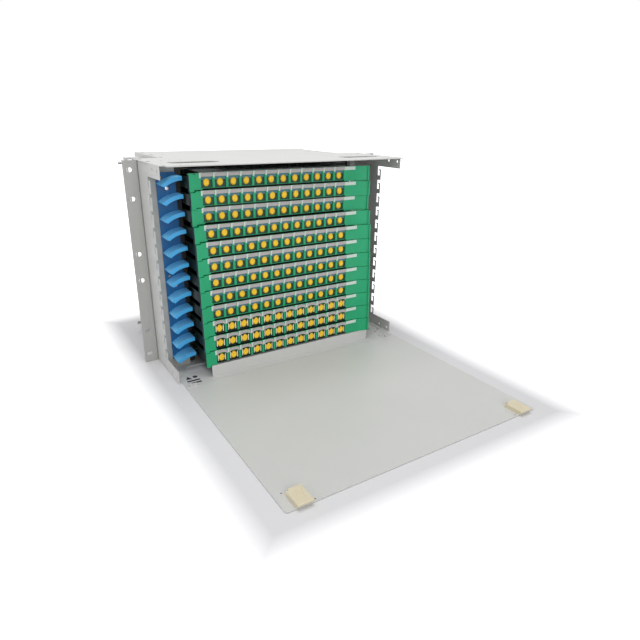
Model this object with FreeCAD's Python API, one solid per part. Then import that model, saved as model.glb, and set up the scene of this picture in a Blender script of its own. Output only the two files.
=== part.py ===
"""Rack-mount fibre distribution unit: an open-fronted sheet metal case with twelve sliding
patch trays, a column of fibre guides and a fold-down front door.

Lengths are in millimetres. X runs to the right, Y goes back into the rack and Z is up.
The origin lies on the underside of the case, midway across it, in the plane where the
mounting ears meet the rack posts. The door is modelled open, flat in front of the case.
"""
import FreeCAD
import Part
import math
import os

# Rack mounting
RACK_UNIT = 44.45
EAR_SPAN = 482.6
EAR_FACE = 23.3
EAR_LEG = 24.0
EAR_THICK = 2.0
SLOT_SPAN = 465.1
SLOT_UNITS = (0.5, 2.5, 3.5)
SLOT_WIDTH = 7.0
SLOT_LENGTH = 10.0

# Case
CASE_H = 340.0
SHEET = 1.5
FRONT_REACH = 112.0
CHEEK_BACK = 28.0
STEP_IN = 42.0
CASE_BACK = 188.0
BOTTOM_NOSE = 14.0
NOSE_INSET = 6.0
TOP_NOSE_INSET = 7.5
TOP_FLANGE = 20.0
BOTTOM_FLANGE = 22.0
TAB_W = 11.0
TAB_SETBACK = 12.0
OVAL_L = 80.0
OVAL_W = 26.0
OVAL_INSET = 65.0
OVAL_SETBACK = 40.0
PIN_HOLE_D = 4.0
PIN_HOLE_SETBACKS = (8.0, 32.0)
PIN_HOLE_RISE = 8.0
CABLE_SLOT_RIM = 10.0
CABLE_SLOT_L = 70.0

# Finger comb along the front edge of each side wall
COMB_SETBACK = 54.0
COMB_LIP = 3.0
COMB_WINDOW = 6.0
COMB_WINDOW_H = 17.0
COMB_GAP = 5.5
COMB_HOOK = 2.4

# Trays
TRAY_PITCH = 25.4
TRAY_GAP = 0.6
STACK_BASE = 22.5
STACK_ROOM = 5.0
LEFT_WEB = 3.5
RIGHT_BAY = 20.5
TRAY_HOME = 14.0
TRAY_DEPTH = 214.0
TRAY_WALL = 2.0
TRAY_SKIN = 3.0
TRAY_SIDE_H = 17.0
TUB_INSET = 5.0
RUNNER_THICK = 2.0
RUNNER_RISE = 9.0
RUNNER_INSET = 0.5
TRAY_PULLS = (0.0, 3.0, 1.0, 7.0, 11.0, 12.0, 14.0, 15.0, 16.0, 17.0, 18.0, 19.0)
SPOOL_D = 56.0
SPOOL_H = 11.0
SPOOL_SIDES = 8
SPLICE_RIBS = 3
SPLICE_PITCH = 12.0
SPLICE_L = 60.0
SPLICE_H = 8.0
SPLICE_WALL = 2.0

# Tray front and ports
PORT_PITCH = 21.7
FIRST_PORT = 27.0
FIN_W = 3.7
CELL_FLOOR = 2.2
CELL_H = 16.4
FRONT_THICK = 7.5
BANK_L = 20.0
BANK_FIT = 0.15
CAP_D = 11.4
CAP_SIDES = 6
STRIP_T = 1.2
SCOOP_W = 30.0
SCOOP_REACH = 8.0
RIB_W = 3.4
LUG_W = 7.0
LUG_H = 3.0
LUG_TAPER = 1.0
LUG_GAP = 0.6

# Tray rails
RAIL_SETBACK = 70.0
RAIL_BACK_ROOM = 30.0
RAIL_WEB = 2.0
RUN_GAP = 0.35

# Fibre guides
GUIDE_SETBACK = 61.0
GUIDE_INSET = 12.0
GUIDE_CLEAR = 5.5
GUIDE_DROP = 15.0
GUIDE_RISE = 17.0
GUIDE_BASE_T = 2.5
MODULES = 2
MODULE_GAP = 0.2
ARM_PITCH = 26.6
ARM_TOP_MARGIN = 4.5
ARM_ROOM = 14.0
ARM_R = 50.0
ARM_T = 2.8
ARM_TIP = 2.5
ARM_REACH = 25.0
ARM_LIP = 6.0
ARM_LIP_T = 2.5
GUIDE_SCREW_INSET = 15.0
GUIDE_SCREW_DROP = 24.0
GUIDE_SCREW_SPAN = 98.0
BRACKET_DROP = 5.0
BRACKET_LEG = 24.0

# Cable anchors in the rear notches
ANCHOR_SETBACK = 60.0
ANCHOR_W = 22.0
ANCHOR_T = 3.0
ANCHOR_INSET = 12.0
ANCHOR_RISE = 14.0
ANCHOR_DROP = 6.0
ANCHOR_SLOTS = 6
ANCHOR_SLOT_H = 24.0
ANCHOR_RIM = 5.0
STUD_D = 6.0
STUD_L = 12.0
STUD_SETBACK = 8.0
NUT_AF = 10.0
NUT_T = 5.0

# Door, open flat on the surface in front of the case
DOOR_INSET = 5.5
DOOR_GAP = 0.5
DOOR_TOP_GAP = 6.0
HINGE_D = 3.8
HINGE_PIN_D = 2.2
HINGE_FIT = 0.06
HINGE_GAP = 0.4
HINGE_LUG = 6.0
HINGE_INSET = 18.0
LATCH_INSET = 26.5
LATCH_W = 26.0
LATCH_L = 31.0
LATCH_T = 7.0
LATCH_BEVEL = 1.2
LATCH_TONGUE = 3.2
LATCH_REST_GAP = 1.3
LATCH_THROW = 4.0
LATCH_CLEAR = 0.3
LATCH_STEM_W = 8.0
LATCH_POCKET = 4.0
STRIKE_MARGIN = 2.0

# Small holes and screws, kept to few sides
SMALL_SIDES = 6
BORE_SIDES = 8
SCREW_HEAD_D = 7.0
SCREW_HEAD_H = 2.0
SCREW_SHANK_D = 3.6

# Places worked out from the sizes above
HALF_W = EAR_SPAN / 2 - EAR_FACE
HALF_REAR = HALF_W - STEP_IN
FRONT = -FRONT_REACH
COMB_EDGE = FRONT + COMB_SETBACK
TRAY_LEFT = -HALF_REAR + SHEET + LEFT_WEB
TRAY_RIGHT = HALF_REAR - SHEET - RIGHT_BAY
TRAY_H = TRAY_PITCH - TRAY_GAP
TRAYS = int((CASE_H - SHEET - STACK_BASE - STACK_ROOM) / TRAY_PITCH)
CELL_W = PORT_PITCH - FIN_W
SCOOP_START = TRAY_RIGHT - RIB_W - SCOOP_W
PORTS_LEFT = TRAY_LEFT + FIRST_PORT - PORT_PITCH / 2
PORT_COUNT = int((SCOOP_START - PORTS_LEFT) / PORT_PITCH)
PORTS_RIGHT = PORTS_LEFT + PORT_COUNT * PORT_PITCH
RAIL_FRONT = FRONT + RAIL_SETBACK
RAIL_BACK = CASE_BACK - RAIL_BACK_ROOM
GUIDE_FACE = FRONT + GUIDE_SETBACK
GUIDE_LEFT = -HALF_W + GUIDE_INSET
GUIDE_RIGHT = TRAY_LEFT - GUIDE_CLEAR
GUIDE_TOP = CASE_H - GUIDE_DROP
MODULE_H = (GUIDE_TOP - GUIDE_RISE) / MODULES
ARMS = int((MODULE_H - ARM_TOP_MARGIN - ARM_ROOM) / ARM_PITCH) + 1
ANCHOR_Y = CASE_BACK - ANCHOR_SETBACK
ANCHOR_OUT = HALF_W - ANCHOR_INSET
ANCHOR_TOP = CASE_H - ANCHOR_DROP
HINGE_X = HALF_W - HINGE_INSET
HINGE_Y = FRONT - BOTTOM_NOSE - HINGE_D / 2
HINGE_Z = HINGE_D / 2
TOP_NOSE = BOTTOM_NOSE + HINGE_D - SHEET - DOOR_GAP
DOOR_HALF = HALF_W - DOOR_INSET
DOOR_EDGE = HINGE_Y + HINGE_Z + DOOR_TOP_GAP - CASE_H
LATCH_X = DOOR_HALF - LATCH_INSET
LATCH_OVERHANG = DOOR_TOP_GAP - SHEET - LATCH_REST_GAP


def box(x0, x1, y0, y1, z0, z1):
    """A block between two corners."""
    corner = FreeCAD.Vector(x0, y0, z0)
    return Part.makeBox(x1 - x0, y1 - y0, z1 - z0, corner)


def rod(diameter, start, direction, length):
    """A round bar from a point along a direction."""
    return Part.makeCylinder(diameter / 2, length, FreeCAD.Vector(*start), FreeCAD.Vector(*direction))


def prism(points, travel):
    """A flat outline, given as points, pushed along a vector."""
    corners = [FreeCAD.Vector(*p) for p in points]
    face = Part.Face(Part.makePolygon(corners + corners[:1]))
    return face.extrude(FreeCAD.Vector(*travel))


def bar(sides, across, start, direction, length):
    """A bar of regular section from a point along an axis, with two of its flats square to the axes."""
    along = FreeCAD.Vector(*direction)
    up = FreeCAD.Vector(1, 0, 0) if abs(along.z) > 0.5 else FreeCAD.Vector(0, 0, 1)
    over = along.cross(up)
    radius = across / 2 / math.cos(math.pi / sides)
    corners = []
    for i in range(sides):
        angle = 2 * math.pi * (i + 0.5) / sides
        spoke = up * (radius * math.cos(angle)) + over * (radius * math.sin(angle))
        corners.append(tuple(FreeCAD.Vector(*start) + spoke))
    return prism(corners, tuple(along * length))


def stadium(cx, cy, length, width, z0, z1):
    """A slot with round ends along X, standing between two heights."""
    straight = (length - width) / 2
    middle = box(cx - straight, cx + straight, cy - width / 2, cy + width / 2, z0, z1)
    ends = [rod(width, (cx + s * straight, cy, z0), (0, 0, 1), z1 - z0) for s in (-1, 1)]
    return middle.fuse(ends)


def mirrored(shape):
    """The same shape on the other side of the centre plane."""
    return shape.mirror(FreeCAD.Vector(0, 0, 0), FreeCAD.Vector(1, 0, 0))


def clean(shape):
    """One tidy solid from fused pieces."""
    return shape.removeSplitter()


def save(name, *solids):
    """Writes one sub-part."""
    shape = solids[0] if len(solids) == 1 else Part.makeCompound(list(solids))
    shape.exportStep(os.path.join("parts", name + ".step"))


def plate_outline(z, nose, inset):
    """The outline that the top and bottom plates share: wide at the ears, narrow at the rear."""
    half = [
        (HALF_W - inset, FRONT - nose),
        (HALF_W - inset, FRONT),
        (HALF_W, FRONT),
        (HALF_W, CHEEK_BACK),
        (HALF_REAR, CHEEK_BACK),
        (HALF_REAR, CASE_BACK),
    ]
    return [(x, y, z) for x, y in half] + [(-x, y, z) for x, y in reversed(half)]


def case_plate(z, inward, nose, inset, flange):
    """A top or bottom plate: sheet, side flanges at the front, cable cut-outs."""
    low = min(z, z + inward * SHEET)
    plate = prism(plate_outline(low, nose, inset), (0, 0, SHEET))
    edge = z + inward * flange
    flange_low, flange_high = min(z, edge), max(z, edge)
    side = box(HALF_W - SHEET, HALF_W, FRONT, COMB_EDGE, flange_low, flange_high)
    for setback in PIN_HOLE_SETBACKS:
        start = (HALF_W - 2 * SHEET, FRONT + setback, z + inward * PIN_HOLE_RISE)
        side = side.cut(bar(SMALL_SIDES, PIN_HOLE_D, start, (1, 0, 0), 3 * SHEET))
    plate = plate.fuse([side, mirrored(side)])
    x, y = HALF_W - OVAL_INSET, FRONT + OVAL_SETBACK
    ovals = [stadium(s * x, y, OVAL_L, OVAL_W, low - 1, low + SHEET + 1) for s in (-1, 1)]
    return plate.cut(ovals)


def top_plate():
    """The top plate, with a strike slot above each latch."""
    plate = case_plate(CASE_H, -1, TOP_NOSE, TOP_NOSE_INSET, TOP_FLANGE)
    half = LATCH_W / 2 + STRIKE_MARGIN
    strike_y = HINGE_Y - HINGE_Z + SHEET + LATCH_T
    slots = [box(x - half, x + half, strike_y - LATCH_TONGUE - LATCH_CLEAR, strike_y + LATCH_CLEAR,
                 CASE_H - SHEET - 1, CASE_H + 1) for x in (-LATCH_X, LATCH_X)]
    return clean(plate.cut(slots))


def hinge_lug(side, moving):
    """One lug of a pivot hinge; the fixed one has the bore and the door's own, inside it, the pin."""
    half = HINGE_D / 2
    inner, outer = HINGE_X, HINGE_X + HINGE_LUG
    if moving:
        inner, outer = HINGE_X - HINGE_GAP - HINGE_LUG, HINGE_X - HINGE_GAP
    reach = -HINGE_D if moving else HINGE_D
    near, far = sorted((HINGE_Y + reach, HINGE_Y - math.copysign(half, reach)))
    lug = box(inner, outer, near, far, 0, HINGE_D)
    centre = (inner, HINGE_Y, HINGE_Z)
    if moving:
        lug = lug.fuse(rod(HINGE_PIN_D, centre, (1, 0, 0), 2 * HINGE_LUG + HINGE_GAP))
    else:
        lug = lug.cut(bar(BORE_SIDES, HINGE_PIN_D + 2 * HINGE_FIT, centre, (1, 0, 0), HINGE_LUG))
    return lug if side > 0 else mirrored(lug)


def bottom_plate():
    """The bottom plate, whose nose carries the fixed lugs of the door hinges."""
    plate = case_plate(0, 1, BOTTOM_NOSE, NOSE_INSET, BOTTOM_FLANGE)
    nose_y = FRONT - BOTTOM_NOSE
    x0 = HINGE_X - 2 * HINGE_GAP - HINGE_LUG
    relief = box(x0, HINGE_X, nose_y - 1, nose_y + 2 * HINGE_GAP, -1, SHEET + 1)
    plate = plate.cut([relief, mirrored(relief)])
    return clean(plate.fuse([hinge_lug(s, False) for s in (-1, 1)]))


def comb_cut(level):
    """One slot of the comb: a window behind the hook, open to the front above its tip."""
    lip_back = COMB_EDGE + COMB_LIP
    window = box(-HALF_W - 1, -HALF_W + SHEET + 1, lip_back, lip_back + COMB_WINDOW,
                 level - COMB_WINDOW_H, level)
    mouth = box(-HALF_W - 1, -HALF_W + SHEET + 1, COMB_EDGE - 1, lip_back + 1, level - COMB_GAP, level)
    tip = box(-HALF_W - 2, -HALF_W + SHEET + 2, lip_back, lip_back + COMB_HOOK,
              level - COMB_GAP - COMB_HOOK, level - COMB_GAP)
    return window.fuse(mouth).cut(tip)


def side_wall():
    """The left wall: one sheet bent to follow the plates, with the comb and the tabs for its screws."""
    z0, z1 = SHEET, CASE_H - SHEET
    cheek = box(-HALF_W, -HALF_W + SHEET, COMB_EDGE, CHEEK_BACK, z0, z1)
    step = box(-HALF_W, -HALF_REAR + SHEET, CHEEK_BACK - SHEET, CHEEK_BACK, z0, z1)
    rear = box(-HALF_REAR, -HALF_REAR + SHEET, CHEEK_BACK - SHEET, CASE_BACK - SHEET, z0, z1)
    pieces = [step, rear]
    for low in (z0, z1 - SHEET):
        high = low + SHEET
        pieces.append(box(-HALF_W, -HALF_W + SHEET + TAB_W, COMB_EDGE + TAB_SETBACK, CHEEK_BACK, low, high))
        pieces.append(box(-HALF_REAR, -HALF_REAR + SHEET + TAB_W, CHEEK_BACK, CASE_BACK - SHEET, low, high))
    cuts = [comb_cut(CASE_H - TOP_FLANGE - i * TRAY_PITCH) for i in range(TRAYS)]
    for level in (CASE_H / 4, CASE_H * 3 / 4):
        cuts.append(box(-HALF_W + CABLE_SLOT_RIM, -HALF_REAR - CABLE_SLOT_RIM, CHEEK_BACK - SHEET - 1,
                        CHEEK_BACK + 1, level - CABLE_SLOT_L / 2, level + CABLE_SLOT_L / 2))
    return clean(cheek.fuse(pieces).cut(cuts))


def rear_cover():
    """The flat cover that closes the rear, with a return inside each wall, clear of the tabs."""
    z0, z1 = SHEET, CASE_H - SHEET
    plate = box(-HALF_REAR, HALF_REAR, CASE_BACK - SHEET, CASE_BACK, z0, z1)
    inside = -HALF_REAR + SHEET
    fold = box(inside, inside + SHEET, CASE_BACK - SHEET - TAB_W, CASE_BACK - SHEET, z0 + TAB_W, z1 - TAB_W)
    return clean(plate.fuse([fold, mirrored(fold)]))


def rack_ear():
    """The left mounting ear: an angle whose leg lies on the cheek, with slots for rack screws."""
    face = box(-EAR_SPAN / 2, -HALF_W, -EAR_THICK, 0, 0, CASE_H)
    leg = box(-HALF_W - EAR_THICK, -HALF_W, 0, EAR_LEG, 0, CASE_H)
    slots = []
    for units in SLOT_UNITS:
        for s in (-1, 1):
            slot = stadium(-SLOT_SPAN / 2, 0, SLOT_LENGTH, SLOT_WIDTH, -1, EAR_THICK + 1)
            slot.rotate(FreeCAD.Vector(0, 0, 0), FreeCAD.Vector(1, 0, 0), 90)
            slot.translate(FreeCAD.Vector(0, 0, CASE_H / 2 + s * units * RACK_UNIT))
            slots.append(slot)
    return clean(face.fuse(leg).cut(slots))


def tray_base(index):
    """Height of a tray's underside; tray 1 is at the top."""
    return STACK_BASE + (TRAYS - 1 - index) * TRAY_PITCH


def tray_face(index):
    """Where the front of a tray stands at rest, drawn out by its own small pull."""
    return FRONT + TRAY_HOME - TRAY_PULLS[index % len(TRAY_PULLS)]


def port_x(port):
    """Middle of a port."""
    return PORTS_LEFT + (port + 0.5) * PORT_PITCH


def scoop(face, z0, z1):
    """The right end of the tray front, swept forward in a concave curve to the end rib."""
    start, end = SCOOP_START, TRAY_RIGHT - RIB_W
    radius = (SCOOP_W ** 2 + SCOOP_REACH ** 2) / (2 * SCOOP_REACH)
    half = math.asin(SCOOP_W / radius) / 2
    back = face + TRAY_SKIN
    middle = FreeCAD.Vector(start + radius * math.sin(half), face - radius * (1 - math.cos(half)), z0)
    points = [FreeCAD.Vector(start, face, z0), FreeCAD.Vector(end, face - SCOOP_REACH, z0),
              FreeCAD.Vector(TRAY_RIGHT, face - SCOOP_REACH, z0), FreeCAD.Vector(TRAY_RIGHT, back, z0),
              FreeCAD.Vector(start, back, z0)]
    edges = [Part.Arc(points[0], middle, points[1]).toShape()]
    edges += [Part.LineSegment(points[i], points[(i + 1) % 5]).toShape() for i in range(1, 5)]
    return Part.Face(Part.Wire(edges)).extrude(FreeCAD.Vector(0, 0, z1 - z0))


def end_block(index):
    """The block on the left end of a tray front, with a tapered lug that hooks past the tray below."""
    face, low = tray_face(index), tray_base(index)
    high = low + TRAY_H - LUG_H
    seat = TRAY_LEFT + LUG_W + LUG_GAP
    points = [(TRAY_LEFT, low - LUG_H), (seat - LUG_TAPER, low - LUG_H), (seat, low), (seat, high), (TRAY_LEFT, high)]
    return prism([(x, face, z) for x, z in points], (0, FRONT_THICK, 0))


def tray(index):
    """A tray: port front with its fins, scooped right end, tub, runners, spool and ribs, and its end block."""
    face, base = tray_face(index), tray_base(index)
    top = base + TRAY_H
    back = face + TRAY_DEPTH
    front_back = face + FRONT_THICK
    front_right = PORTS_RIGHT + FIN_W / 2

    front_left = TRAY_LEFT + LUG_W + LUG_GAP
    corners = [(front_left, base), (front_right, base), (front_right, top), (front_left + LUG_TAPER, top),
               (front_left, top - LUG_TAPER)]
    front = prism([(x, face, z) for x, z in corners], (0, FRONT_THICK, 0))
    skin = box(PORTS_RIGHT, SCOOP_START, face, face + TRAY_SKIN, base, top)
    front = front.fuse([skin, scoop(face, base, top)])
    cells = [box(port_x(p) - CELL_W / 2, port_x(p) + CELL_W / 2, face - 1, front_back + 1,
                 base + CELL_FLOOR, base + CELL_FLOOR + CELL_H) for p in range(PORT_COUNT)]
    front = front.cut(cells)

    left, right = TRAY_LEFT + TUB_INSET, TRAY_RIGHT - TUB_INSET
    tub = box(left, right, front_back, back, base, base + TRAY_SIDE_H)
    cheek = box(right - TRAY_WALL, right, face + TRAY_SKIN, front_back, base, base + TRAY_SIDE_H)
    apron = box(front_right, right, face + TRAY_SKIN, front_back, base, base + TRAY_WALL)
    runner = box(TRAY_LEFT + RUNNER_INSET, TRAY_RIGHT - RUNNER_INSET, RAIL_FRONT, back,
                 base + RUNNER_RISE, base + RUNNER_RISE + RUNNER_THICK)
    hollow = box(left + TRAY_WALL, right - TRAY_WALL, front_back, back - TRAY_WALL, base + TRAY_WALL, top)
    tub = tub.fuse(runner).cut(hollow)

    middle_y = (front_back + back) / 2
    floor = base + TRAY_WALL
    inside = [bar(SPOOL_SIDES, SPOOL_D, (right - (right - left) / 4, middle_y, floor), (0, 0, 1), SPOOL_H)]
    for i in range(SPLICE_RIBS):
        x = left + (right - left) / 3 + i * SPLICE_PITCH
        inside.append(box(x - SPLICE_WALL / 2, x + SPLICE_WALL / 2, middle_y - SPLICE_L / 2,
                          middle_y + SPLICE_L / 2, floor, floor + SPLICE_H))
    return [clean(front.fuse([tub, cheek, apron] + inside)), end_block(index)]


def port_z(base):
    """Height of a tray's port centres."""
    return base + CELL_FLOOR + CELL_H / 2


def adapter_bank(index):
    """The bank of adapters behind a tray front, one bar across all its cells."""
    seat, z = tray_face(index) + FRONT_THICK, port_z(tray_base(index))
    left, right = port_x(0) - CELL_W / 2, port_x(PORT_COUNT - 1) + CELL_W / 2
    half = CELL_H / 2 - BANK_FIT
    return box(left, right, seat, seat + BANK_L, z - half, z + half)


def ports(index):
    """The adapter bank of a tray and a dust cap in each cell, out to the front edges of the fins."""
    seat, z = tray_face(index) + FRONT_THICK, port_z(tray_base(index))
    caps = [bar(CAP_SIDES, CAP_D, (port_x(p), seat, z), (0, -1, 0), FRONT_THICK) for p in range(PORT_COUNT)]
    return [adapter_bank(index)] + caps


def label_strip(index):
    """The label holder along the top of a tray front, over the fins and up to the scoop."""
    face, base = tray_face(index), tray_base(index)
    left = port_x(0) - CELL_W / 2
    right = SCOOP_START - TRAY_GAP
    return box(left, right, face - STRIP_T, face, base + CELL_FLOOR + CELL_H, base + TRAY_H)


def grooved_rail(x0, x1, groove0, groove1):
    """A tray rail between two planes, with a groove between two others for each tray's runner."""
    rail = box(x0, x1, RAIL_FRONT, RAIL_BACK, 2 * SHEET, CASE_H - 2 * SHEET)
    grooves = []
    for i in range(TRAYS):
        low = tray_base(i) + RUNNER_RISE - RUN_GAP
        high = low + RUNNER_THICK + 2 * RUN_GAP
        grooves.append(box(groove0, groove1, RAIL_FRONT - 1, RAIL_BACK + 1, low, high))
    return rail.cut(grooves)


def tray_rail_left():
    """The left rail, on the inside of the rear part of the left wall."""
    face = TRAY_LEFT + TUB_INSET - RUN_GAP
    return clean(grooved_rail(-HALF_REAR + SHEET, face, TRAY_LEFT, face + 1))


def tray_rail_right():
    """The right rail, held off the right wall by a web at each end."""
    face = TRAY_RIGHT - TUB_INSET + RUN_GAP
    back = TRAY_RIGHT + RAIL_WEB
    rail = grooved_rail(face, back, face - 1, TRAY_RIGHT)
    webs = [box(back, HALF_REAR - SHEET, y, y + RAIL_WEB, 2 * SHEET, CASE_H - 2 * SHEET)
            for y in (CHEEK_BACK, RAIL_BACK - RAIL_WEB)]
    return clean(rail.fuse(webs))


def module_top(module):
    """Top of a guide module; module 0 is the upper one."""
    return GUIDE_TOP - module * MODULE_H


def guide_screw_places():
    """Where the screws of the guide modules stand, two to a module, on the front of their base."""
    x = GUIDE_LEFT + GUIDE_SCREW_INSET
    places = []
    for module in range(MODULES):
        high = module_top(module) - GUIDE_SCREW_DROP
        places += [(x, GUIDE_FACE, high), (x, GUIDE_FACE, high - GUIDE_SCREW_SPAN)]
    return places


def curved_band(level, thick, depth):
    """A band that is level at its tip and curved down to the left, from the front of a guide arm back."""
    y0 = GUIDE_FACE - ARM_REACH
    tip = GUIDE_RIGHT + ARM_TIP
    turn = math.asin((tip - GUIDE_LEFT) / ARM_R)
    inner = ARM_R - thick

    def on_arc(radius, angle):
        return FreeCAD.Vector(tip - radius * math.sin(angle), y0, level - ARM_R + radius * math.cos(angle))

    edges = [Part.Arc(on_arc(ARM_R, 0), on_arc(ARM_R, turn / 2), on_arc(ARM_R, turn)).toShape(),
             Part.LineSegment(on_arc(ARM_R, turn), on_arc(inner, turn)).toShape(),
             Part.Arc(on_arc(inner, turn), on_arc(inner, turn / 2), on_arc(inner, 0)).toShape(),
             Part.LineSegment(on_arc(inner, 0), on_arc(ARM_R, 0)).toShape()]
    return Part.Face(Part.Wire(edges)).extrude(FreeCAD.Vector(0, depth, 0))


def guide_arm(level):
    """One guide arm, bent wider than a fibre's least radius, with a lip hanging from its front edge."""
    return curved_band(level, ARM_T, ARM_REACH).fuse(curved_band(level, ARM_LIP, ARM_LIP_T))


def fibre_guide(module):
    """A guide module: a base plate and its arms in one moulding."""
    top = module_top(module)
    low = top - MODULE_H + MODULE_GAP
    base = box(GUIDE_LEFT, GUIDE_RIGHT, GUIDE_FACE, GUIDE_FACE + GUIDE_BASE_T, low, top)
    arms = [guide_arm(top - ARM_TOP_MARGIN - i * ARM_PITCH) for i in range(ARMS)]
    places = guide_screw_places()
    holes = [bar(SMALL_SIDES, SCREW_SHANK_D, place, (0, 1, 0), GUIDE_BASE_T) for place in places]
    return clean(base.fuse(arms).cut(holes))


def guide_bracket():
    """The angle that carries the guides, fixed to the inside of the left cheek."""
    y0 = GUIDE_FACE + GUIDE_BASE_T
    x0 = -HALF_W + SHEET
    top = CASE_H - BRACKET_DROP
    plate = box(x0, GUIDE_RIGHT, y0, y0 + SHEET, SHEET, top)
    leg = box(x0, x0 + SHEET, y0, y0 + BRACKET_LEG, SHEET + TAB_W, top - TAB_W)
    depth = GUIDE_BASE_T + SHEET
    holes = [bar(SMALL_SIDES, SCREW_SHANK_D, place, (0, 1, 0), depth) for place in guide_screw_places()]
    return clean(plate.fuse(leg).cut(holes))


def guide_screws():
    """The screws through the guide modules into their bracket."""
    screws = []
    for place in guide_screw_places():
        head = bar(SMALL_SIDES, SCREW_HEAD_D, place, (0, -1, 0), SCREW_HEAD_H)
        shank = bar(SMALL_SIDES, SCREW_SHANK_D, place, (0, 1, 0), GUIDE_BASE_T + SHEET)
        screws.append(clean(head.fuse(shank)))
    return screws


def cable_anchor():
    """The left cable anchor: a slotted bar on two arms in the rear notch, for tying down cables."""
    y0, y1 = ANCHOR_Y, ANCHOR_Y + ANCHOR_W
    bar_in = -ANCHOR_OUT + ANCHOR_T
    anchor = box(-ANCHOR_OUT, bar_in, y0, y1, ANCHOR_RISE, ANCHOR_TOP)
    ends = (ANCHOR_RISE, ANCHOR_TOP - ANCHOR_T)
    arms = [box(-ANCHOR_OUT, -HALF_REAR, y0, y1, low, low + ANCHOR_T) for low in ends]
    slots = []
    for i in range(ANCHOR_SLOTS):
        level = ANCHOR_RISE + (ANCHOR_TOP - ANCHOR_RISE) * (i + 0.5) / ANCHOR_SLOTS
        slots.append(box(-ANCHOR_OUT - 1, bar_in + 1, y0 + ANCHOR_RIM, y1 - ANCHOR_RIM,
                         level - ANCHOR_SLOT_H / 2, level + ANCHOR_SLOT_H / 2))
    return clean(anchor.fuse(arms).cut(slots))


def earth_studs():
    """A stud with its nut at both ends of each anchor."""
    studs = []
    for z in (ANCHOR_RISE + STUD_SETBACK, ANCHOR_TOP - STUD_SETBACK):
        start = (-ANCHOR_OUT, ANCHOR_Y + ANCHOR_W / 2, z)
        nut = bar(6, NUT_AF, start, (-1, 0, 0), NUT_T)
        studs.append(clean(nut.fuse(bar(SMALL_SIDES, STUD_D, start, (-1, 0, 0), STUD_L))))
    return studs + [mirrored(s) for s in studs]


def door_panel():
    """The door: a flat sheet with its hinge lugs and pins, and a slot for each latch."""
    near = FRONT - BOTTOM_NOSE - HINGE_D - HINGE_GAP
    panel = box(-DOOR_HALF, DOOR_HALF, DOOR_EDGE, near, 0, SHEET)
    relief = box(HINGE_X - HINGE_GAP / 2, HINGE_X + HINGE_LUG + HINGE_GAP,
                 HINGE_Y - HINGE_D / 2 - 2 * HINGE_GAP, near + 1, -1, SHEET + 1)
    half = LATCH_STEM_W / 2
    slots = [box(x - half, x + half, *latch_slot(), -1, SHEET + 1) for x in (-LATCH_X, LATCH_X)]
    panel = panel.cut([relief, mirrored(relief)] + slots)
    return clean(panel.fuse([hinge_lug(side, True) for side in (-1, 1)]))


def latch_slot():
    """Where the slots for the latch stems start and end."""
    start = DOOR_EDGE + LATCH_STEM_W
    return start, start + LATCH_L / 2


def door_latch(side):
    """A sliding latch: bevelled block, tongue past the door's edge and stem in the slot."""
    middle = side * LATCH_X
    x0, x1 = middle - LATCH_W / 2, middle + LATCH_W / 2
    top = SHEET + LATCH_T
    front = DOOR_EDGE - LATCH_OVERHANG
    back = front + LATCH_L
    body = box(x0, x1, front, back, SHEET, top)
    rim = [e for e in body.Edges if e.BoundBox.ZMin > top - LATCH_BEVEL]
    body = body.makeChamfer(LATCH_BEVEL, rim)
    step = box(x0 - 1, x1 + 1, front - 1, DOOR_EDGE + LATCH_CLEAR, SHEET - 1, top - LATCH_TONGUE)
    pocket = box(x0 - 1, x0 + LATCH_POCKET, back - LATCH_POCKET, back + 1, SHEET + LATCH_BEVEL, top + 1)
    half = LATCH_STEM_W / 2 - LATCH_CLEAR
    slot_start, slot_end = latch_slot()
    stem = box(middle - half, middle + half, slot_start + LATCH_THROW + LATCH_CLEAR, slot_end - LATCH_CLEAR,
               LATCH_CLEAR, SHEET)
    return clean(body.cut([step, pocket]).fuse(stem))


os.makedirs("parts", exist_ok=True)
wall_left, ear_left, anchor_left = side_wall(), rack_ear(), cable_anchor()
save("top_plate", top_plate())
save("bottom_plate", bottom_plate())
save("side_wall_left", wall_left)
save("side_wall_right", mirrored(wall_left))
save("rear_cover", rear_cover())
save("rack_ear_left", ear_left)
save("rack_ear_right", mirrored(ear_left))
save("tray_rail_left", tray_rail_left())
save("tray_rail_right", tray_rail_right())
save("guide_bracket", guide_bracket())
for module, place in enumerate(("upper", "lower")):
    save("fibre_guide_" + place, fibre_guide(module))
save("cable_anchor_left", anchor_left)
save("cable_anchor_right", mirrored(anchor_left))
save("earth_studs", *earth_studs())
save("door_panel", door_panel())
save("door_latch_left", door_latch(-1))
save("door_latch_right", door_latch(1))
save("guide_screws", *guide_screws())
for number in range(TRAYS):
    label = f"{number + 1:02d}"
    save("tray_" + label, *tray(number))
    save("ports_" + label, *ports(number))
    save("label_strip_" + label, label_strip(number))
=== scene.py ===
# %% [markdown]
# # A rack-mount fibre distribution unit
# The unit is a sheet steel case with twelve moulded patch trays, a column of fibre guides and a
# door that folds down in front. Its measured solids come from the CAD model, packed as a fixed
# frame. This lesson dresses that frame: each step says what a piece is, and then makes it.

# %% Load the frame
import math

import bmesh
import bpy
from mathutils import Matrix, Vector


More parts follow.
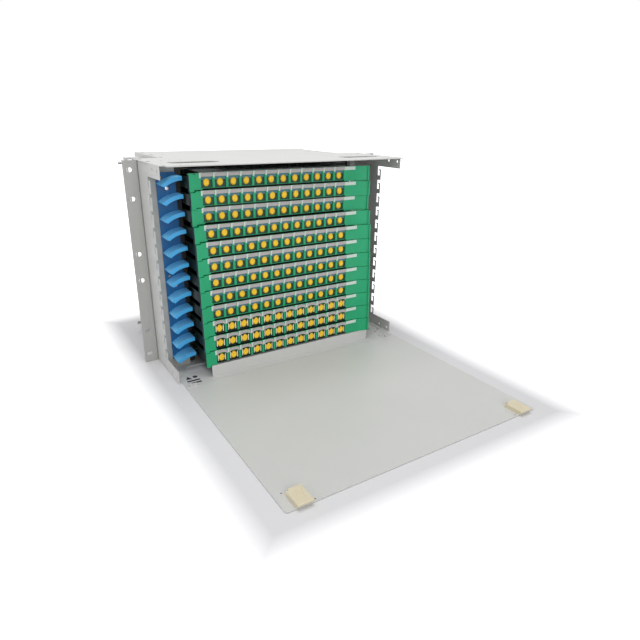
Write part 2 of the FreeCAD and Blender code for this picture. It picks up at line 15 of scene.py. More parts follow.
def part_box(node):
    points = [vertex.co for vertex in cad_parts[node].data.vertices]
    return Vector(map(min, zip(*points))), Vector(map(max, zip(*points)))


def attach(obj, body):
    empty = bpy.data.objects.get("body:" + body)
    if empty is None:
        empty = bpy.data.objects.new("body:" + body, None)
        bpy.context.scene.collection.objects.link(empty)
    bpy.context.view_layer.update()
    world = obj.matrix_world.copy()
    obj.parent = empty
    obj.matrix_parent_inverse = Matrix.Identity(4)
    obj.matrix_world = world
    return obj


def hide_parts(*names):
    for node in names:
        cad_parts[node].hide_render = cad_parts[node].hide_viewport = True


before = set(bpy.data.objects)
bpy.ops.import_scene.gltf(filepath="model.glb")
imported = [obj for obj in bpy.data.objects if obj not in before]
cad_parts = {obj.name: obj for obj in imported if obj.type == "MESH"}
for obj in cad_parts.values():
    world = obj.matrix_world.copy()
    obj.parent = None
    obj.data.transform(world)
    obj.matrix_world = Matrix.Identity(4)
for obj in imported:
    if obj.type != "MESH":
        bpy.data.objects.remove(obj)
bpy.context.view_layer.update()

# %% [markdown]
# ## Camera
# The photograph was taken from the left, in front and a little above. The place, the direction
# and the focal length were fitted to edges of the case whose real sizes are known.

# %% Set the camera
MM = 0.001
CAMERA_PLACE = (-426.1, -858.6, 404.5)
CAMERA_YAW, CAMERA_PITCH, CAMERA_ROLL = 0.568, 0.372, 0.014
CAMERA_LENS = 29.19
SENSOR_WIDTH = 36


def aimed(yaw, pitch, roll):
    """Rotation of a camera that looks along +Y at zero yaw and turns right, then down, then rolls."""
    forward = Vector((math.sin(yaw) * math.cos(pitch), math.cos(yaw) * math.cos(pitch), -math.sin(pitch)))
    right = forward.cross(Vector((0, 0, 1))).normalized()
    up = right.cross(forward)
    frame_axes = Matrix((right, up, -forward)).transposed()
    return frame_axes @ Matrix.Rotation(roll, 3, "Z")


camera_data = bpy.data.cameras.new("camera")
camera_data.sensor_fit = "HORIZONTAL"
camera_data.sensor_width = SENSOR_WIDTH
camera_data.lens = CAMERA_LENS
camera = bpy.data.objects.new("camera", camera_data)
camera.matrix_world = (Matrix.Translation(Vector(CAMERA_PLACE) * MM)
                       @ aimed(CAMERA_YAW, CAMERA_PITCH, CAMERA_ROLL).to_4x4())
bpy.context.scene.collection.objects.link(camera)
bpy.context.scene.camera = camera
print("camera at", [round(v, 3) for v in camera.matrix_world.translation], "with a", CAMERA_LENS, "mm lens")

# %% [markdown]
# ## Studio
# A white cyclorama in a soft light: a large lamp above, one at the left and a far one in front,
# and the world fills in the shade. What the camera sees behind the object is white through the
# Light Path node, so no extra light falls on the object.

# %% Helpers for colours and nodes
def to_linear(code):
    """Linear colour with alpha of an sRGB hex code."""
    channels = [int(code[i:i + 2], 16) / 255 for i in (1, 3, 5)]
    return [c / 12.92 if c <= 0.04045 else ((c + 0.055) / 1.055) ** 2.4 for c in channels] + [1.0]


def add_node(tree, kind, inputs=None, **settings):
    """Adds a node, sets its properties, and gives each named input a value or a link."""
    node = tree.nodes.new(kind)
    for key, value in settings.items():
        setattr(node, key, value)
    for key, value in (inputs or {}).items():
        if isinstance(value, bpy.types.NodeSocket):
            tree.links.new(value, node.inputs[key])
        else:
            node.inputs[key].default_value = value
    return node


def seen_directly(tree):
    """A socket that is 1 for rays that show the backdrop: from the camera, in gloss or through glass."""
    path = add_node(tree, "ShaderNodeLightPath").outputs
    seen = add_node(tree, "ShaderNodeMath", {0: path["Is Camera Ray"], 1: path["Is Glossy Ray"]},
                    operation="MAXIMUM")
    seen = add_node(tree, "ShaderNodeMath", {0: seen.outputs[0], 1: path["Is Transmission Ray"]},
                    operation="MAXIMUM")
    return seen.outputs[0]


print("colour and node helpers ready")

# %% Light the studio
WORLD_LEVEL = 0.47
LAMP_TARGET = (0, -0.1, 0.15)
WHITE = (1, 1, 1, 1)


def lamp(name, place, size, power):
    """A soft square lamp that points at the unit; its place and size are in metres."""
    data = bpy.data.lights.new(name, "AREA")
    data.shape = "SQUARE"
    data.size = size
    data.energy = power
    thing = bpy.data.objects.new(name, data)
    aim = (Vector(LAMP_TARGET) - Vector(place)).to_track_quat("-Z", "Y")
    thing.matrix_world = Matrix.Translation(place) @ aim.to_matrix().to_4x4()
    bpy.context.scene.collection.objects.link(thing)


lamp("lamp_above", (-0.1, -0.12, 1.7), 1.2, 13)
lamp("lamp_left", (-2.8, -0.9, 0.9), 1.4, 11)
lamp("lamp_front", (-0.5, -3.8, 1.4), 1.8, 39)

world = bpy.data.worlds.new("studio")
bpy.context.scene.world = world
world.use_nodes = True
world.node_tree.nodes.clear()
level = add_node(world.node_tree, "ShaderNodeMapRange", {"Value": seen_directly(world.node_tree),
                                                         "To Min": WORLD_LEVEL, "To Max": 1.0})
background = add_node(world.node_tree, "ShaderNodeBackground", {"Color": WHITE, "Strength": level.outputs[0]})
add_node(world.node_tree, "ShaderNodeOutputWorld", {"Surface": background.outputs[0]})
bpy.context.scene.view_settings.view_transform = "Standard"
print("world and lamps set")

# %% [markdown]
# The paper glows for the camera more with the distance from the unit's footprint, so far off it is
# white; near the unit it has no glow, which leaves a grey band of painted shade beside its own soft shadow.

# %% Lay the paper
PAPER_HALF, PAPER_DROP = 9, 0.0003
FOOT_MIDDLE, FOOT_HALF = (0.0, 0.136, 0.0), (0.218, 0.324, 0.0)
GLOW_START, GLOW_END, GLOW_MOST = 0.02, 0.12, 1.2

paper_corners = [(x * PAPER_HALF, y * PAPER_HALF, -PAPER_DROP) for x, y in ((-1, -1), (1, -1), (1, 1), (-1, 1))]
floor_mesh = bpy.data.meshes.new("floor")
floor_mesh.from_pydata(paper_corners, [], [(0, 1, 2, 3)])
floor = bpy.data.objects.new("floor", floor_mesh)
bpy.context.scene.collection.objects.link(floor)
sweep = bpy.data.materials.new("white_paper_sweep")
sweep.use_nodes = True
tree = sweep.node_tree
tree.nodes.clear()
spot = add_node(tree, "ShaderNodeTexCoord").outputs["Object"]
away = add_node(tree, "ShaderNodeVectorMath", {0: spot, 1: FOOT_MIDDLE}, operation="ADD")
away = add_node(tree, "ShaderNodeVectorMath", {0: away.outputs["Vector"]}, operation="ABSOLUTE")
away = add_node(tree, "ShaderNodeVectorMath", {0: away.outputs["Vector"], 1: FOOT_HALF}, operation="SUBTRACT")
away = add_node(tree, "ShaderNodeSeparateXYZ", {0: away.outputs["Vector"]})
away = add_node(tree, "ShaderNodeMath", {0: away.outputs["X"], 1: away.outputs["Y"]}, operation="MAXIMUM")
# Near the footprint the paper gets no glow: painted shade round the unit.
share = add_node(tree, "ShaderNodeMapRange", {"Value": away.outputs[0], "From Min": GLOW_START,
                                              "From Max": GLOW_END, "To Min": 0.0, "To Max": GLOW_MOST})
lift = add_node(tree, "ShaderNodeMath", {0: seen_directly(tree), 1: share.outputs[0]}, operation="MULTIPLY")
paper = add_node(tree, "ShaderNodeBsdfDiffuse", {"Color": to_linear("#DEDEE0")})
glow = add_node(tree, "ShaderNodeEmission", {"Color": WHITE, "Strength": lift.outputs[0]})
both = add_node(tree, "ShaderNodeAddShader", {0: paper.outputs[0], 1: glow.outputs[0]})
add_node(tree, "ShaderNodeOutputMaterial", {"Surface": both.outputs[0]})
floor_mesh.materials.append(sweep)
print("studio ready")

# %% [markdown]
# ## Finishes
# Every finish starts from what the real surface is. A powder coat is a baked polyester skin: dull
# satin, with the fine swell called orange peel. Moulded plastic has a smoother sheen and slight
# clouding where it flowed and cooled. The patterns are sized in millimetres, and those too fine
# for the picture are drawn a little coarser so that they show.

# %% Make the painted and plated finishes
ROUGHNESS_SWING = 0.05
BUMP_SHARE = 0.2


def surface(name, colours, cloud_mm, grain_mm, bump, roughness, **sockets):
    """A shader whose colour clouds between two tones and whose bump has a given grain."""
    material = bpy.data.materials.new(name)
    material.use_nodes = True
    tree = material.node_tree
    tree.nodes.clear()
    place = add_node(tree, "ShaderNodeTexCoord").outputs["Object"]
    cloud = add_node(tree, "ShaderNodeTexNoise", {"Vector": place, "Scale": 1 / (cloud_mm * MM),
                                                  "Detail": 3.0})
    tone = add_node(tree, "ShaderNodeMix", {"Factor": cloud.outputs["Fac"], "A": to_linear(colours[0]),
                                            "B": to_linear(colours[1])}, data_type="RGBA")
    grain = add_node(tree, "ShaderNodeTexNoise", {"Vector": place, "Scale": 1 / (grain_mm * MM),
                                                  "Detail": 2.0})
    swell = add_node(tree, "ShaderNodeBump", {"Height": grain.outputs["Fac"], "Strength": bump,
                                              "Distance": grain_mm * MM * BUMP_SHARE})
    dull = add_node(tree, "ShaderNodeMapRange", {"Value": cloud.outputs["Fac"],
                                                 "To Min": roughness - ROUGHNESS_SWING,
                                                 "To Max": roughness + ROUGHNESS_SWING})
    shader = add_node(tree, "ShaderNodeBsdfPrincipled", {"Base Color": tone.outputs["Result"],
                                                         "Roughness": dull.outputs[0],
                                                         "Normal": swell.outputs[0], **sockets})
    add_node(tree, "ShaderNodeOutputMaterial", {"Surface": shader.outputs[0]})
    return material


# Polyester powder coat on steel: an even, dull satin that spreads highlights over a wide patch.
grey_coat = surface("light_grey_powder_coat", ("#CFCFCD", "#C9CAC7"), 90, 1.6, 0.12, 0.40)
# The ears' coat, painted darker than the case: painted shade for their faces, which turn to the front and get
# less light.
ear_painted_shade_coat = surface("mid_grey_powder_coat", ("#AEAEAB", "#A8A8A5"), 70, 1.6, 0.12, 0.48)
# Blackened steel inside the case: almost no colour, a faint grey sheen on its edges.
black_coat = surface("black_oxide_steel", ("#222226", "#1A1A1D"), 30, 1.2, 0.15, 0.5)
# The guides' angle: the case's coat painted darker and warmer, as painted shade behind the comb, and duller.
shade_coat = surface("dull_grey_painted_shade_coat", ("#B4B2AC", "#A5A49E"), 40, 1.6, 0.12, 0.55)
# Screen-printing ink: flat black, a little uneven where the screen's mesh held it back.
print_ink = surface("black_screen_ink", ("#2B2B2E", "#37373A"), 3, 0.5, 0.05, 0.6)
# Zinc plate: a cool bright metal with soft clouding from the plating bath.
zinc_plate = surface("zinc_plated_steel", ("#C9CBCF", "#AEB1B6"), 6, 0.6, 0.08, 0.3, Metallic=1.0)
print("painted and plated finishes made")

# %% Make the plastic finishes
# ABS moulded against a fine spark-eroded tool: semi-gloss, with soft clouding.
green_abs = surface("moulded_green_abs", ("#22AB77", "#1B9B68"), 25, 0.9, 0.08, 0.38,
                    **{"Specular IOR Level": 0.35})
# The tub behind the front: near-black green, painted shade for the deep parts of the case; the clips of the
# lowest rows take it too.
black_and_painted_shade_abs = surface("black_green_abs_painted_shade", ("#0A241C", "#071A15"), 25, 0.9, 0.08, 0.42)
# The adapters' own body: the dull green painted near black, as painted shade deep in its cell.
cell_painted_shade_plastic = surface("dark_green_painted_cell_shade", ("#0D3A26", "#0A2D20"), 8, 0.6, 0.10, 0.5)
# The adapters' upper ledge: a bluish grey stripe painted under the strip, for the strip's shade and its grey
# reflection.
strip_painted_shade_slate = surface("slate_painted_strip_shade", ("#4C7C8A", "#426F7E"), 8, 0.6, 0.10, 0.5)
# The side rims of the other adapters: smooth cream plastic with a slight pearl, warm and bright.
cream_rim = surface("moulded_cream_plastic", ("#FFFBEA", "#F4ECD2"), 4, 0.5, 0.05, 0.3, Metallic=0.2)
# Soft PVC dust caps: warm yellow, a little light passes into them, so their shade turns orange.
yellow_pvc = surface("soft_yellow_pvc", ("#FFD426", "#FBC41C"), 4, 0.8, 0.05, 0.38,
                     **{"Subsurface Weight": 0.12, "Subsurface Radius": (0.002, 0.001, 0.0004)})
# Extruded label holder of frosted PVC: grey, because the dark tray shows through it.
frosted_pvc = surface("frosted_grey_pvc", ("#BEB9B8", "#AFABAA"), 12, 0.7, 0.05, 0.34)
# The holder's solid clips and the bare paper label: off-white, with a painted green tint for the light that the
# tray throws on them.
white_pvc = surface("white_pvc", ("#D3E2DA", "#C6D6CD"), 12, 0.7, 0.05, 0.35)
# Blue ABS guides: a clear mid blue with soft highlights, since the surface is semi-gloss.
blue_abs = surface("moulded_blue_abs", ("#47B2EE", "#3BA6E4"), 30, 0.9, 0.06, 0.36)
# The guides' base plates: a deeper blue with a duller ground, painted shade for their place under the arms.
painted_shade_blue_abs = surface("deep_blue_painted_shade_abs", ("#03639A", "#025287"), 30, 0.9, 0.06, 0.45)
# The arms' upper sides: a paler blue, painted light on the faces that turn up.
painted_light_blue_abs = surface("painted_light_blue_abs", ("#74C6F6", "#62B8EC"), 30, 0.9, 0.06, 0.4)
# Cream ABS latches: satin, slightly yellowed.
cream_abs = surface("moulded_cream_abs", ("#DFD5BA", "#D3C8AC"), 10, 0.8, 0.08, 0.42)
HAZE_MM = 20


def clear_sheet():
    """Clear polycarbonate: mostly see-through, with a clear gloss at low angles."""
    material = bpy.data.materials.new("clear_polycarbonate")
    material.use_nodes = True
    tree = material.node_tree
    tree.nodes.clear()
    place = add_node(tree, "ShaderNodeTexCoord").outputs["Object"]
    haze = add_node(tree, "ShaderNodeTexNoise", {"Vector": place, "Scale": 1 / (HAZE_MM * MM), "Detail": 2.0})
    dull = add_node(tree, "ShaderNodeMapRange", {"Value": haze.outputs["Fac"], "To Min": 0.08, "To Max": 0.2})
    shader = add_node(tree, "ShaderNodeBsdfPrincipled", {"Base Color": to_linear("#E8F0EE"), "Alpha": 0.16,
                                                         "Roughness": dull.outputs[0], "IOR": 1.58})
    add_node(tree, "ShaderNodeOutputMaterial", {"Surface": shader.outputs[0]})
    return material


clear_pc = clear_sheet()
print("plastic finishes made")

# %% [markdown]
# ## Tools for sheet metal and mouldings
# Most pieces are prisms with holes and softened edges. A prism is an outline pushed along an
# axis; prisms are joined and cut with exact Booleans, and a narrow bevel then breaks the edges
# as bending, coating or moulding does. Lengths are given in millimetres.

# %% Helpers that draw outlines
def disc(a, b, radius, sides=24):
    """Round outline about a point."""
    return [(a + radius * math.cos(2 * math.pi * i / sides), b + radius * math.sin(2 * math.pi * i / sides))
            for i in range(sides)]


def arc(a, b, radius, start, end, steps=8):
    """Points of an arc, angles in degrees."""
    turns = [math.radians(start + (end - start) * i / steps) for i in range(steps + 1)]
    return [(a + radius * math.cos(t), b + radius * math.sin(t)) for t in turns]


def rounded(a0, a1, b0, b1, radius, steps=5):
    """Outline of a rectangle with round corners."""
    corners = [(a1 - radius, b1 - radius), (a0 + radius, b1 - radius),
               (a0 + radius, b0 + radius), (a1 - radius, b0 + radius)]
    turns = [arc(a, b, radius, 90 * i, 90 * i + 90, steps) for i, (a, b) in enumerate(corners)]
    return [point for turn in turns for point in turn]


def prism(axis, low, high, outline):
    """An outline and its travel along an axis; x outlines are in (y, z), y in (x, z), z in (x, y)."""
    return axis, low, high, outline


def block(x0, x1, y0, y1, z0, z1):
    """A straight block as a prism."""
    return prism("z", z0, z1, [(x0, y0), (x1, y0), (x1, y1), (x0, y1)])


print("outline helpers ready")

# %% Helpers that make meshes
def linked(name, data):
    """A new object of the scene around a mesh."""
    thing = bpy.data.objects.new(name, data)
    bpy.context.scene.collection.objects.link(thing)
    return thing


def kept(name, mesh):
    """Writes a bmesh into a mesh of its own and lets it go."""
    data = bpy.data.meshes.new(name)
    mesh.to_mesh(data)
    mesh.free()
    return data


def pushed(mesh, part):
    """Adds a prism to a bmesh, in metres."""
    axis, low, high, outline = part
    to_point = {"x": lambda a, b, c: (c, a, b), "y": lambda a, b, c: (a, c, b),
                "z": lambda a, b, c: (a, b, c)}[axis]
    rings = [[mesh.verts.new([v * MM for v in to_point(a, b, c)]) for a, b in outline] for c in (low, high)]
    count = len(outline)
    faces = [mesh.faces.new(rings[0]), mesh.faces.new(rings[1])]
    for i in range(count):
        j = (i + 1) % count
        faces.append(mesh.faces.new((rings[0][i], rings[0][j], rings[1][j], rings[1][i])))
    bmesh.ops.recalc_face_normals(mesh, faces=faces)


def mesh_of(name, parts):
    """A mesh object of loose prisms."""
    mesh = bmesh.new()
    for part in parts:
        pushed(mesh, part)
    return linked(name, kept(name, mesh))


print("mesh helpers ready")

# %% Helpers that cut and soften
BEND_ANGLE, SHARP_ANGLE = 40, 38


def baked(thing):
    """Applies the modifiers of an object to its mesh."""
    graph = bpy.context.evaluated_depsgraph_get()
    data = bpy.data.meshes.new_from_object(thing.evaluated_get(graph))
    thing.modifiers.clear()
    thing.data = data
    return thing


def boolean(thing, other, operation):
    """Joins or cuts with a second object, which is then removed."""
    modifier = thing.modifiers.new("boolean", "BOOLEAN")
    modifier.operation = operation
    modifier.solver = "EXACT"
    modifier.use_self = True
    modifier.object = other
    baked(thing)
    bpy.data.objects.remove(other)
    return thing


def softened(thing, width, segments=2):
    """Breaks the sharp edges and smooths the rest."""
    if width:
        bevel = thing.modifiers.new("bevel", "BEVEL")
        bevel.width = width * MM
        bevel.segments = segments
        bevel.limit_method = "ANGLE"
        bevel.angle_limit = math.radians(BEND_ANGLE)
        baked(thing)
    thing.data.shade_smooth()
    thing.data.set_sharp_from_angle(angle=math.radians(SHARP_ANGLE))
    flat = thing.modifiers.new("flat", "WEIGHTED_NORMAL")
    flat.keep_sharp = True
    return baked(thing)


def solid(name, parts, cuts=(), bevel=0.25, segments=2):
    """One closed piece from prisms that are joined, cut and bevelled."""
    thing = mesh_of(name, parts[:1])
    if len(parts) > 1:
        boolean(thing, mesh_of(name + "_more", parts[1:]), "UNION")
    if cuts:
        boolean(thing, mesh_of(name + "_cuts", cuts), "DIFFERENCE")
    return softened(thing, bevel, segments)


print("cutting helpers ready")

# %% Helpers that finish and place
WELD = 1e-6


def riding(thing, body, slot, *nodes):
    """Gives a piece its body and hides the nodes that it stands for; the slot is not used."""
    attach(thing, body)
    if nodes:
        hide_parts(*nodes)
    return thing


def placed(thing, material, body, slot, *nodes):
    """Gives a piece one finish all over and lets it ride."""
    thing.data.materials.clear()
    thing.data.materials.append(material)
    return riding(thing, body, slot, *nodes)


def second_finish(thing, material, chosen):
    """Gives a second finish to the faces that a test of middle and normal picks."""
    thing.data.materials.append(material)
    last = len(thing.data.materials) - 1
    for face in thing.data.polygons:
        if chosen(face.center, face.normal):
            face.material_index = last
    return thing


def dressed(node, name, material, body, slot, cuts=(), adds=(), bevel=0.22):
    """A softened copy of a CAD node that stands for it, with more cut or added."""
    mesh = bmesh.new()
    mesh.from_mesh(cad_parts[node].data)
    bmesh.ops.remove_doubles(mesh, verts=mesh.verts, dist=WELD)
    thing = linked(name, kept(name, mesh))
    if adds:
        boolean(thing, mesh_of(name + "_adds", adds), "UNION")
    if cuts:
        boolean(thing, mesh_of(name + "_cuts", cuts), "DIFFERENCE")
    softened(thing, bevel)
    return placed(thing, material, body, slot, node)


print("placing helpers ready")

# %% [markdown]
# ## Case
# The case is folded and punched sheet. The CAD solids have the right outline with sharp edges and
# six-sided pin holes, so each is copied, its holes are drilled round, and its edges are broken.

# %% Sizes of the case
CASE_H, SHEET, FRONT, HALF_W, HALF_REAR = 340.0, 1.5, -112.0, 218.0, 176.0
CHEEK_BACK, CASE_BACK = 28.0, 188.0
wall_low, wall_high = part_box("side_wall_left")
print("left wall from", [round(v / MM, 1) for v in wall_low], "to", [round(v / MM, 1) for v in wall_high])

# %% Top and bottom plates
PIN_HOLE_R, PIN_HOLE_RISE, PIN_HOLE_BACKS = 2.35, 8, (8, 32)
SCREW_SEAT_R, SCREW_SEAT_DEPTH = 3.9, 0.9
SCREW_PLACES = [(169.5, 40), (169.5, 98), (169.5, 156), (211, -36), (211, 12)]
SMALL_HOLE_R = 2.0
SMALL_HOLES = [(150, 94), (160, -27), (190, -32), (173, -20), (206, -88), (146, 40)]
NOSE_EDGE, DOOR_NEAR = -126.0, -130.2
HINGE_GAP_HALF = 192.6
GROOVE_DEPTH, SEAM_DEPTH = 1.1, 0.6


def pin_holes(z):
    """Round holes over the pin holes of both side flanges."""
    return [prism("x", s * HALF_W - 4, s * HALF_W + 4, disc(FRONT + back, z, PIN_HOLE_R, 20))
            for s in (-1, 1) for back in PIN_HOLE_BACKS]


def sunk(z, way):
    """Seats of the countersunk screws and the plain holes of a cover; way is +1 for the top face."""
    seat = sorted((z + way, z - way * SCREW_SEAT_DEPTH))
    cuts = [prism("z", *seat, disc(s * x, y, SCREW_SEAT_R, 24)) for s in (-1, 1) for x, y in SCREW_PLACES]
    return cuts + [prism("z", z - 4, z + 4, disc(s * x, y, SMALL_HOLE_R, 16))
                   for s in (-1, 1) for x, y in SMALL_HOLES]


def groove(x0, x1, y0, y1, depth=GROOVE_DEPTH):
    """A straight groove in the upper face of the bottom plate."""
    return block(x0, x1, y0, y1, SHEET - depth, SHEET + 1)


dressed("top_plate", "top_cover", grey_coat, "case", "light_grey_powder_coat",
        pin_holes(CASE_H - PIN_HOLE_RISE) + sunk(CASE_H, 1))
# At the right lie shallow grooves, two small holes and a slanted slot; the last groove is the seam
# along the nose.
bottom_marks = [groove(207.4, 209.2, -90, -59), groove(200, 209.2, -91.6, -90),
                prism("z", -1, 5, disc(188.4, -85, 2.2, 20)), prism("z", -1, 5, disc(191.5, -98, 2.2, 20)),
                prism("z", -1, 5, [(186.3, -115), (189.1, -114.4), (185.8, -123.1), (183.0, -123.7)]),
                groove(190, 204.5, -123.2, -121.6), groove(197, 202, -117.0, -115.4),
                groove(-HALF_W + 43, HALF_W - 30, -125.2, -124.5, SEAM_DEPTH)]
seam = [block(-HINGE_GAP_HALF, HINGE_GAP_HALF, DOOR_NEAR + 0.5, NOSE_EDGE + 1, 0, SHEET)]
dressed("bottom_plate", "bottom_cover", grey_coat, "case", "light_grey_powder_coat",
        pin_holes(PIN_HOLE_RISE) + bottom_marks + sunk(0, -1), seam)
print("plates dressed")

# %% Walls, rear cover and inner steel
COMB_FRONT = -59
EAR_BEND = 3

for side in ("left", "right"):
    s = -1 if side == "left" else 1
    skin = sorted((s * (HALF_W - 0.6), s * (HALF_W + 1)))
    seams = [block(*skin, COMB_FRONT, CHEEK_BACK + 1, z - 0.4, z + 0.5)
             for z in (CASE_H - SHEET - 0.4, SHEET + 0.4)]
    dressed("side_wall_" + side, "wall_" + side, grey_coat, "case", "light_grey_powder_coat", seams)
    bend = [(s * (HALF_W + x), y) for x, y in arc(EAR_BEND, 1, EAR_BEND, 180, 270, 6)]
    bend += [(s * (HALF_W - 0.5), -EAR_BEND), (s * (HALF_W - 0.5), 1)]
    # The ears' coat carries painted shade.
    dressed("rack_ear_" + side, "ear_" + side, ear_painted_shade_coat, "case", "mid_grey_powder_coat",
            [prism("z", -2, CASE_H + 2, bend)], bevel=0.2)
    dressed("tray_rail_" + side, "rail_" + side, black_coat, "case", "black_steel")
    dressed("cable_anchor_" + side, "anchor_" + side, grey_coat, "case", "light_grey_powder_coat", bevel=0.4)
dressed("rear_cover", "rear_panel", grey_coat, "case", "light_grey_powder_coat")
# The angle takes the coat with painted shade.
dressed("guide_bracket", "guide_angle", shade_coat, "case", "light_grey_powder_coat")
print("walls dressed")

# %% [markdown]
# ## Door
# The door is one flat sheet with rounded free corners, folded down on two pivot pins. Two cream
# latches slide on it, a little narrower than their solids, with fine grip grooves in the block.

# %% Door and latches
DOOR_EDGE, DOOR_HALF, DOOR_CORNER = -460.0, 212.5, 4
DOT_R = 1.3
DOTS = ((172.8, -456.6), (201.5, -428.5))
LATCH_INSET, LATCH_NARROW = 26.5, 0.82
GRIPS, GRIP_PITCH, GRIP_W = 5, 4, 0.8

corner_cuts = []
for s in (-1, 1):
    middle = s * (DOOR_HALF - DOOR_CORNER), DOOR_EDGE + DOOR_CORNER
    curve = arc(*middle, DOOR_CORNER, 270, 270 + s * 90, 6)
    past = [(s * (DOOR_HALF + 1), middle[1]), (s * (DOOR_HALF + 1), DOOR_EDGE - 1), (middle[0], DOOR_EDGE - 1)]
    corner_cuts.append(prism("z", -3, 5, curve + past))
dots = [prism("z", -1, 3, disc(s * x, y, DOT_R, 16)) for s in (-1, 1) for x, y in DOTS]
dressed("door_panel", "door_sheet", grey_coat, "door", "light_grey_powder_coat", corner_cuts + dots)
for side in ("left", "right"):
    middle = (-1 if side == "left" else 1) * (DOOR_HALF - LATCH_INSET)
    starts = [middle + GRIP_PITCH * (i - (GRIPS - 1) / 2) for i in range(GRIPS)]
    grip = [block(start, start + GRIP_W, -455, -440, 8.2, 9.5) for start in starts]
    latch = dressed("door_latch_" + side, "latch_" + side, cream_abs, "latch_" + side, "cream_plastic",
                    grip, bevel=0.7)
    low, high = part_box("door_latch_" + side)
    outer = Matrix.Translation((high.x if side == "right" else low.x, 0, 0))
    latch.data.transform(outer @ Matrix.Diagonal((LATCH_NARROW, 1, 1, 1)) @ outer.inverted())
print("door dressed")

# %% [markdown]
# ## Repeats with Geometry Nodes
# Caps, adapters, clips and screws stand in rows. One tree lays a row of copies of a mould piece:
# its inputs are the piece, how many, the step between them, a small random turn about the row's
# viewing axis and the finish. The copies are realised, because the export keeps meshes alone.

# %% The row tree
def row_tree():
    """Node tree that lays a row of copies of an object."""
    tree = bpy.data.node_groups.new("row_of_pieces", "GeometryNodeTree")
    for name, kind in (("Piece", "Object"), ("Count", "Int"), ("Step", "Vector"), ("Turn", "Float"),
                       ("Seed", "Int"), ("Finish", "Material")):
        tree.interface.new_socket(name=name, in_out="INPUT", socket_type="NodeSocket" + kind)
    tree.interface.new_socket(name="Geometry", in_out="OUTPUT", socket_type="NodeSocketGeometry")
    given = add_node(tree, "NodeGroupInput").outputs
    piece = add_node(tree, "GeometryNodeObjectInfo", {"Object": given["Piece"]})
    line = add_node(tree, "GeometryNodeMeshLine", {"Count": given["Count"], "Offset": given["Step"]},
                    mode="OFFSET")
    least = add_node(tree, "ShaderNodeMath", {0: given["Turn"], 1: -1.0}, operation="MULTIPLY")
    turn = add_node(tree, "FunctionNodeRandomValue", {"Min": least.outputs[0], "Max": given["Turn"],
                                                      "Seed": given["Seed"]}, data_type="FLOAT")
    angles = add_node(tree, "ShaderNodeCombineXYZ", {"Y": turn.outputs["Value"]})
    copies = add_node(tree, "GeometryNodeInstanceOnPoints", {"Points": line.outputs[0],
                                                             "Instance": piece.outputs["Geometry"],
                                                             "Rotation": angles.outputs[0]})
    real = add_node(tree, "GeometryNodeRealizeInstances", {"Geometry": copies.outputs[0]})
    painted = add_node(tree, "GeometryNodeSetMaterial", {"Geometry": real.outputs[0],
                                                         "Material": given["Finish"]})
    add_node(tree, "NodeGroupOutput", {"Geometry": painted.outputs[0]})
    return tree


ROW = row_tree()


def row(name, piece, start, count, step, finish, turn=0.0, seed=1):
    """A row of copies of a piece as one mesh; start and step are in millimetres."""
    holder = linked(name, bpy.data.meshes.new(name))
    modifier = holder.modifiers.new("row", "NODES")
    modifier.node_group = ROW
    sockets = {item.name: item.identifier for item in ROW.interface.items_tree if item.in_out == "INPUT"}
    values = {"Piece": piece, "Count": count, "Step": [v * MM for v in step], "Turn": turn, "Seed": seed,
              "Finish": finish}
    for key, value in values.items():
        modifier[sockets[key]] = value
    baked(holder)
    holder.data.transform(Matrix.Translation(Vector(start) * MM))
    return holder


print("row tree ready")

# %% Helpers that join and copy
def joined(name, things):
    """Several mesh objects as one, each keeping its own finish."""
    mesh = bmesh.new()
    finishes = []
    for thing in things:
        offset = len(finishes)
        first = len(mesh.faces)
        mesh.from_mesh(thing.data)
        mesh.faces.ensure_lookup_table()
        for face in mesh.faces[first:]:
            face.material_index += offset
        finishes += list(thing.data.materials) or [None]
    data = kept(name, mesh)
    for finish in finishes:
        data.materials.append(finish)
    for thing in things:
        bpy.data.objects.remove(thing)
    return linked(name, data)


def copy_at(thing, name, offset=(0, 0, 0)):
    """A copy of a piece with its place in its own mesh."""
    data = thing.data.copy()
    data.name = name
    data.transform(Matrix.Translation(Vector(offset) * MM))
    return linked(name, data)


print("joining helpers ready")

# %% [markdown]
# ## Fibre guides
# Blue mouldings with six broad arms each. An arm curves over like a slide, so that a bundle of
# cords bends wider than its least radius, and its tip keeps the bundle from slipping off.

# %% Guide arms
GUIDE_LEFT, GUIDE_RIGHT, GUIDE_FACE, GUIDE_BASE = -206.0, -176.5, -51.0, 2.5
MODULE_H, GUIDE_TOP, MODULE_GAP = 154.0, 325.0, 0.2
ARMS, ARM_PITCH, ARM_MARGIN = 6, 26.6, 4.5
ARM_R, ARM_T, ARM_REACH, ARM_TIP = 50.0, 2.8, 25.0, 2.5
ARM_LIP, ARM_LIP_T = 6.0, 2.5
SCREW_INSET, SCREW_DROP, SCREW_SPAN, SCREW_HOLE_R = 15.0, 24, 98.0, 2.0
PEG_INSET, PEG_DROP, PEG_R = 7, 8, 2.4
FACING_UP = 0.3


def arm_band(level, thick, start, end, steps):
    """Side view in (x, z) of a band under an arm's outer curve; start and end are of its inner curve."""
    tip = GUIDE_RIGHT + ARM_TIP
    turn = math.degrees(math.asin((tip - GUIDE_LEFT) / ARM_R))
    over = arc(tip, level - ARM_R, ARM_R, 90, 90 + turn, 14)
    return over + arc(tip, level - ARM_R, ARM_R - thick, 90 + turn + start, 90 + end, steps)


